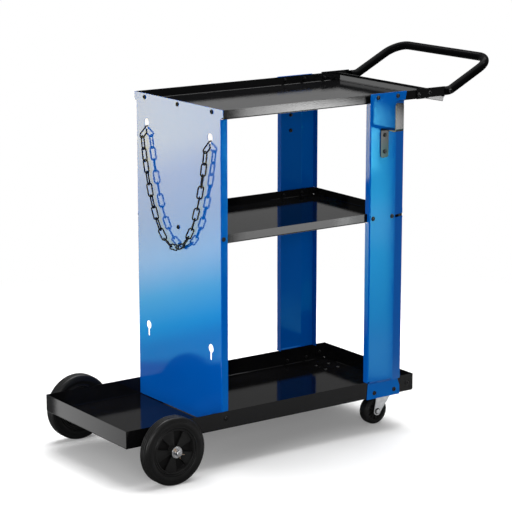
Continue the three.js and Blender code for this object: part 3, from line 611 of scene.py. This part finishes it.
# Handle: one bent tube, open at both ends
TUBE_R = 12.15
TUBE_WALL = 1.5
TUBE_HALF = 209.9
TUBE_START = 740.3
TUBE_KNEE = 764
TUBE_REACH = 918
TUBE_LOW = 952
TUBE_HIGH = 1029.5
TUBE_BENDS = [0.040, 0.053, 0.053, 0.040]
TUBE_ARC_STEPS = 14
TUBE_SIDES = 32


def handle():
    corners = [
        at(TUBE_START, -TUBE_HALF, TUBE_LOW), at(TUBE_KNEE, -TUBE_HALF, TUBE_LOW),
        at(TUBE_REACH, -TUBE_HALF, TUBE_HIGH), at(TUBE_REACH, TUBE_HALF, TUBE_HIGH),
        at(TUBE_KNEE, TUBE_HALF, TUBE_LOW), at(TUBE_START, TUBE_HALF, TUBE_LOW),
    ]
    points = rounded(corners, TUBE_BENDS, TUBE_ARC_STEPS)
    outside = tube_rings(points, TUBE_R / MM, TUBE_SIDES, False)
    inside = tube_rings(points, (TUBE_R - TUBE_WALL) / MM, TUBE_SIDES, False)
    bm = bmesh.new()
    add_grid(bm, outside + inside[::-1], True)
    # The tube takes the darker copy of the black paint: painted shade
    obj = piece("handle_bent_tube", bm, "frame", "black_paint", look="tube_black")
    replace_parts(obj, "handle_tube")


handle()

# Rear wheels: ribbed tyre, spoked hub
AXLE_X, AXLE_Z, WHEEL_Y = -181, 92, 242
WHEEL_SEGMENTS = 120
WHEEL_SHARP = 28
TYRE_R = 92.0
TYRE_SIDE = [
    (62.0, 14.6), (63.0, 16.4), (64.4, 16.9), (65.6, 16.6), (66.4, 15.9), (67.6, 15.8), (68.8, 16.5),
    (72.0, 17.5), (76.5, 18.0), (80.5, 17.8), (82.4, 17.0), (83.2, 16.9), (84.6, 17.2), (87.0, 16.3),
    (89.4, 14.8), (91.2, 12.9), (91.9, 11.4), (TYRE_R, 10.0),
]
TYRE_GROOVES = (-7.0, 0.0, 7.0)
GROOVE_HALF = 1.5
GROOVE_DEPTH = 2.0
GROOVE_SHAPE = ((-1.5, 0), (-1, 0.3), (-0.6, 1), (0.6, 1), (1, 0.3), (1.5, 0))
HUB_RING = [
    (8.3, 20.0), (12.6, 20.0), (13.6, 19.2), (14.2, 17.0), (15.0, 4.0), (16.5, 3.0), (53.2, 3.0),
    (54.6, 3.8), (55.2, 6.0), (56.2, 13.8), (57.2, 15.6), (58.4, 16.0), (60.6, 16.0), (61.5, 15.4),
    (61.7, 14.4),
]
SPOKES = 5
SPOKE_TURN = 41
SPOKE_WEDGE = 20
SPOKE_INNER, SPOKE_OUTER, SPOKE_HALF = 12.0, 58.0, 11.0
SPOKE_STEPS = 8
SPOKE_EDGE = 1.2
SPOKE_BEVEL = SPOKE_EDGE * 0.3
# Where the hub's pocket floors are painted darkest as shade: half height, inner and outer radius
POCKET_SHADE_HALF, POCKET_SHADE_IN, POCKET_SHADE_OUT = 4.5, 15.0, 55.0


def tyre_profile():
    tread = []
    for middle in TYRE_GROOVES:
        for step, drop in GROOVE_SHAPE:
            tread.append((TYRE_R - GROOVE_DEPTH * drop, middle + GROOVE_HALF * step))
    return mirrored(TYRE_SIDE) + tread + TYRE_SIDE[::-1]


def add_spoke(bm, place, angle):
    """A wedge between the boss and the rim with chamfered edges on both faces."""
    spread = math.tan(math.radians(SPOKE_WEDGE))
    length = SPOKE_OUTER - SPOKE_INNER
    radii = [SPOKE_INNER + length * k / SPOKE_STEPS for k in range(SPOKE_STEPS + 1)]
    upper = [
        (SPOKE_HALF - SPOKE_EDGE, 0), (SPOKE_HALF - SPOKE_BEVEL, SPOKE_BEVEL), (SPOKE_HALF, SPOKE_EDGE),
    ]
    lower = [(-height, inset) for height, inset in upper[::-1]]
    turn = Matrix.Rotation(angle, 4, "Z")
    rings = []
    for height, inset in lower + upper:
        ring = [(r, -r * spread + inset) for r in radii]
        ring += [(r, r * spread - inset) for r in radii[::-1]]
        rings.append([place @ turn @ Vector((x / MM, y / MM, height / MM)) for x, y in ring])
    add_prism(bm, rings)


def rear_wheel(name, hand):
    body = "rear_wheel_" + name
    place = facing(at(AXLE_X, hand * WHEEL_Y, AXLE_Z), (0, hand, 0))
    bm = bmesh.new()
    add_turned(bm, tyre_profile(), place, WHEEL_SEGMENTS, closed=True)
    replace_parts(piece("ribbed_tyre_" + name, bm, body, "tyre_rubber", sharp=WHEEL_SHARP), "tyre_" + name)

    bm = bmesh.new()
    add_turned(bm, HUB_RING + mirrored(HUB_RING)[::-1], place, WHEEL_SEGMENTS, closed=True)
    right = place.to_3x3() @ Vector((1, 0, 0))
    up = place.to_3x3() @ Vector((0, 1, 0))
    for k in range(SPOKES):
        angle = math.radians(SPOKE_TURN + 360 * k / SPOKES)
        way = Vector((math.cos(angle), 0, math.sin(angle)))
        add_spoke(bm, place, math.atan2(way.dot(up), way.dot(right)))
    # Faces of the pocket floors between the spokes take the darkest black: painted shade in the pockets
    back_to_hub = place.inverted()
    for face in bm.faces:
        spot = back_to_hub @ face.calc_center_median() * MM
        face.material_index = int(abs(spot.z) < POCKET_SHADE_HALF and POCKET_SHADE_IN < spot.xy.length < POCKET_SHADE_OUT)
    hub = piece("spoked_hub_" + name, bm, body, "hub_plastic", sharp=WHEEL_SHARP)
    hub.data.materials.append(LOOKS["hub_recess"])
    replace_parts(hub, "wheel_hub_" + name)


# Axle with its sleeves, washers and split pins
AXLE_R, AXLE_HALF = 8.0, 277.4
AXLE_END = [(0, 0), (5.6, 0), (7.0, 0.3), (7.7, 0.8), (AXLE_R, 1.6)]
AXLE_SEGMENTS = 48
BORE_R = AXLE_R + 0.3
WASHER_R, WASHER_THICK, WASHER_Y, WASHER_CHAMFER = 15.5, 2.5, 263.55, 0.5
SLEEVE_R, SLEEVE_FROM, SLEEVE_TO, SLEEVE_CHAMFER = 11.0, 198.3, 221.7, 0.6
SLEEVE_SEGMENTS = 40
PIN_WIRE, PIN_Y, PIN_TURN = 1.25, 267.6, -45
PIN_HALF = PIN_WIRE + 0.1
PIN_DROP = AXLE_R + 1.0
PIN_TAILS = ((8, 11), (-7, 8))
PIN_EYE, PIN_EYE_Z = 3.2, AXLE_R + 4
PIN_EYE_ANGLES = range(-60, 241, 50)
PIN_BEND, PIN_BEND_STEPS, PIN_SIDES = 0.0009, 3, 12


def axle():
    bm = bmesh.new()
    side = [(radius, AXLE_HALF - drop) for radius, drop in AXLE_END]
    place = facing(at(AXLE_X, 0, AXLE_Z), (0, 1, 0))
    add_turned(bm, side + mirrored(side)[::-1], place, AXLE_SEGMENTS)
    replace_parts(piece("round_axle", bm, "frame", "zinc"), "rear_axle")


def pin_corners():
    """The split pin's wire in its own plane: a spread leg, the eye, the other leg."""
    (right, long_tail), (left, short_tail) = PIN_TAILS
    corners = [(right, -PIN_DROP - long_tail), (PIN_HALF, -PIN_DROP), (PIN_HALF, AXLE_R)]
    for degrees in PIN_EYE_ANGLES:
        angle = math.radians(degrees)
        corners.append((PIN_EYE * math.cos(angle), PIN_EYE_Z + PIN_EYE * math.sin(angle)))
    return corners + [(-PIN_HALF, AXLE_R), (-PIN_HALF, -PIN_DROP), (left, -PIN_DROP - short_tail)]


def axle_fittings(name, hand):
    place = facing(at(AXLE_X, 0, AXLE_Z), (0, hand, 0))
    half = WASHER_THICK / 2
    bm = bmesh.new()
    profile = ring_profile(BORE_R, WASHER_R, WASHER_Y - half, WASHER_Y + half, WASHER_CHAMFER)
    add_turned(bm, profile, place, AXLE_SEGMENTS, closed=True)
    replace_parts(piece("flat_washer_" + name, bm, "frame", "zinc"), "axle_washer_" + name)

    bm = bmesh.new()
    profile = ring_profile(BORE_R, SLEEVE_R, SLEEVE_FROM, SLEEVE_TO, SLEEVE_CHAMFER)
    add_turned(bm, profile, place, SLEEVE_SEGMENTS, closed=True)
    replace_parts(piece("axle_sleeve_" + name, bm, "frame", "zinc"), "axle_spacer_" + name)

    turn = Matrix.Rotation(math.radians(PIN_TURN), 3, "Y")
    middle = at(AXLE_X, hand * PIN_Y, AXLE_Z)
    corners = [middle + turn @ Vector((x / MM, 0, z / MM)) for x, z in pin_corners()]
    points = rounded(corners, [PIN_BEND] * (len(corners) - 2), PIN_BEND_STEPS)
    bm = bmesh.new()
    add_tube(bm, points, PIN_WIRE / MM, PIN_SIDES)
    obj = piece("bent_split_pin_" + name, bm, "frame", "zinc", look="pin_brass")
    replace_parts(obj, "split_pin_" + name)


# Caster wheels: tread, recessed web with short ribs, hub
CASTER_X, CASTER_Y, CASTER_R = 577, 122, 40
CASTER_SIDE = [
    (4.3, 17.5), (8.2, 17.5), (9.0, 16.8), (10.0, 9.6), (10.8, 9.0), (24.2, 9.0), (25.0, 9.6),
    (26.4, 13.9), (27.2, 14.8), (28.4, 15.0), (29.6, 15.0), (30.2, 14.4), (31.0, 14.4), (31.6, 15.0),
    (34.4, 15.0), (36.2, 14.2), (38.4, 12.0), (39.6, 9.6), (40.0, 7.4),
]
CASTER_SEGMENTS = 84
CASTER_SHARP = 30
RIBS = 12
RIB_IN, RIB_OUT = 9.5, 26.0
RIB_LEVELS = ((8.5, 1.3), (12.2, 1.2), (12.8, 0.7))


def caster_wheel(name, hand):
    place = facing(at(CASTER_X, hand * CASTER_Y, CASTER_R), (0, hand, 0))
    bm = bmesh.new()
    add_turned(bm, mirrored(CASTER_SIDE) + CASTER_SIDE[::-1], place, CASTER_SEGMENTS, closed=True)
    for side in (-1, 1):
        for k in range(RIBS):
            turn = place @ Matrix.Rotation(2 * math.pi * k / RIBS, 4, "Z")
            rings = []
            for height, half in RIB_LEVELS:
                corners = ((RIB_IN, -half), (RIB_OUT, -half), (RIB_OUT, half), (RIB_IN, half))
                rings.append([turn @ Vector((x / MM, y / MM, side * height / MM)) for x, y in corners])
            add_prism(bm, rings)
    obj = piece("caster_tread_" + name, bm, "caster_roller_" + name, "caster_plastic", sharp=CASTER_SHARP)
    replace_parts(obj, "caster_wheel_" + name)


# Thin rings of the darkest black under the caster bolts' heads: painted shade around the heads
FORK_FACE = 21.0
BOLT_BORE, BOLT_RING_R, BOLT_RING_THICK, BOLT_RING_CHAMFER = 6.4, 9.0, 0.6, 0.2
BOLT_RING_SEGMENTS = 32


def bolt_shade_rings(name, hand):
    bm = bmesh.new()
    top = FORK_FACE + BOLT_RING_THICK
    profile = ring_profile(BOLT_BORE, BOLT_RING_R, FORK_FACE, top, BOLT_RING_CHAMFER)
    for side in (-1, 1):
        place = facing(at(CASTER_X, hand * CASTER_Y, CASTER_R), (0, side, 0))
        add_turned(bm, profile, place, BOLT_RING_SEGMENTS, closed=True)
    piece("bolt_rings_" + name, bm, "caster_swivel_" + name, "caster_plastic", look="hub_recess")


axle()
for name, hand in HANDS:
    rear_wheel(name, hand)
    axle_fittings(name, hand)
    caster_wheel(name, hand)
    bolt_shade_rings(name, hand)

# Post edges: sheet that closes the narrow slits at the tray, the middle shelf and the top shelf
FLANGE_EDGES = [((482.75, 197.0), (482.75, 215.2)), ((604.8, 206.2), (604.8, 187.5))]
FLANGE_LEVELS = [(154.8, 159.5), (633.3, 637.0), (934.0, 939.3)]
STRIP_EDGES = [((566.0, 215.55), (570.5, 215.55)), ((570.0, 215.5), (604.8, 206.2))]
STRIP_LEVELS = [(150.0, 160.5), (610.5, 615.5), (623.5, 637.0), (934.0, 939.3)]
EDGE_HALF = 0.6


def add_wall(bm, start, end, low, high):
    """An upright strip of sheet between two points of the plan."""
    start, end = Vector(start), Vector(end)
    along = (end - start).normalized()
    side = Vector((-along.y, along.x)) * EDGE_HALF
    plan = (start - side, end - side, end + side, start + side)
    add_prism(bm, [[at(p.x, p.y, z) for p in plan] for z in (low, high)])


def post_edges(name, hand):
    bm = bmesh.new()
    for edges, levels in ((FLANGE_EDGES, FLANGE_LEVELS), (STRIP_EDGES, STRIP_LEVELS)):
        for low, high in levels:
            for (x0, y0), (x1, y1) in edges:
                add_wall(bm, (x0, hand * y0), (x1, hand * y1), low, high)
    piece("post_edges_" + name, bm, "frame", "blue_paint")


for name, hand in HANDS:
    post_edges(name, hand)

# Small fasteners: a screw's profile in shares of its radius and height, a nut's as a share of half its
# width across flats, a height, and a share of its own height
SCREW_SIZE = (6.2, 3.4)
SCREW_PROFILE = [
    (0, 0), (0.96, 0), (1, 0.06), (1, 0.24), (0.95, 0.46), (0.82, 0.75), (0.64, 0.94), (0.52, 1),
    (0.44, 0.97), (0.42, 0.35), (0, 0.30),
]
SCREW_SOCKET = {8: 6, 9: 6}
NUT_HALF, NUT_HEIGHT = 4.0, 4.0
NUT_PROFILE = [
    (0, 0, 0), (1.38, 0, 0), (1.42, 0.15, 0), (1.42, 0.7, 0), (1.38, 0.85, 0), (1, 0.85, 0),
    (1, 0.85, 0.9), (0.94, 0.85, 1), (0.66, 0.85, 1), (0.62, 0.75, 1), (0.60, 1.9, 1), (0.52, 2.2, 1),
    (0, 2.2, 1),
]
NUT_FLATS = {5: 6, 6: 6}
FASTENER_SEGMENTS = 24


def add_screw(bm, place, direction, size):
    """Button head with a hexagon socket."""
    radius, height = size
    profile = [(radius * r, height * h) for r, h in SCREW_PROFILE]
    add_turned(bm, profile, facing(place, direction), FASTENER_SEGMENTS, facets=SCREW_SOCKET)


def add_nut(bm, place, direction):
    """Hexagon nut on a washer, with the end of its screw."""
    profile = [(NUT_HALF * r, base + NUT_HEIGHT * share) for r, base, share in NUT_PROFILE]
    add_turned(bm, profile, facing(place, direction), FASTENER_SEGMENTS, facets=NUT_FLATS)


def fasteners(name, screws, nuts, size=SCREW_SIZE):
    bm = bmesh.new()
    for place, direction in screws:
        add_screw(bm, at(*place), direction, size)
    for place, direction in nuts:
        add_nut(bm, at(*place), direction)
    piece(name, bm, "frame", "black_paint", look="screw_black")


# Rows of x, z, the outer face under the head, and the inner face under the nut where there is one
SIDE_FASTENERS = [
    ("post_screws_", SCREW_SIZE, [
        (507, 953, 216.3, 213.0), (575, 953, 216.3, 213.0),
        (494, 621, 216.3, 201.9), (560, 621, 216.3, 201.9), (596, 618, 203.4, None),
    ]),
    ("panel_side_screws_", SCREW_SIZE, [(7, 622, 205.2, None), (11.5, 135, 207, 203.7)]),
    ("foot_bolts_", (6.2, 3.6), [(512, 120.5, 208.8, 205.5), (582, 120.5, 208.8, 205.5)]),
    ("hook_screws_", (5.8, 3.2), [(529, 805, 219.6, 214.8), (529, 850, 219.6, 214.8)]),
    ("bracket_screws_", SCREW_SIZE, [
        (648, 950, 217.8, 213.0), (686, 952, 217.8, None), (757, 952, 222.0, None),
    ]),
]
CORNER_ROWS = [(630, 130, 207, 204.0)]
CORNER_FRONT = (652, 183, 130)
PANEL_PLACES = [(-163, 953), (0, 953), (163, 953), (0, 621)]
PANEL_INSIDE = 3.3
PLATE_X, PLATE_PITCH = 597, 23
PLATE_TOP, PLATE_UNDER = 108.0, 103.7
PLATE_SCREW_SIZE = (5.0, 1.8)
TO_REAR, TO_FRONT, UP, DOWN = (-1, 0, 0), (1, 0, 0), (0, 0, 1), (0, 0, -1)


def side_screws(rows, hand):
    return [((x, hand * head, z), (0, hand, 0)) for x, z, head, _ in rows]


def side_nuts(rows, hand):
    return [((x, hand * nut, z), (0, -hand, 0)) for x, z, _, nut in rows if nut]


fasteners(
    "panel_screws",
    [((0, y, z), TO_REAR) for y, z in PANEL_PLACES],
    [((PANEL_INSIDE, y, z), TO_FRONT) for y, z in PANEL_PLACES],
)
for name, hand in HANDS:
    for label, size, rows in SIDE_FASTENERS:
        fasteners(label + name, side_screws(rows, hand), side_nuts(rows, hand), size)
    x, y, z = CORNER_FRONT
    fasteners(
        "tray_corner_screws_" + name,
        side_screws(CORNER_ROWS, hand) + [((x, hand * y, z), TO_FRONT)],
        side_nuts(CORNER_ROWS, hand),
    )
    steps = (-PLATE_PITCH, PLATE_PITCH)
    corners = [(PLATE_X + dx, hand * CASTER_Y + dy) for dx in steps for dy in steps]
    fasteners(
        "caster_plate_bolts_" + name,
        [((x, y, PLATE_TOP), UP) for x, y in corners],
        [((x, y, PLATE_UNDER), DOWN) for x, y in corners],
        PLATE_SCREW_SIZE,
    )
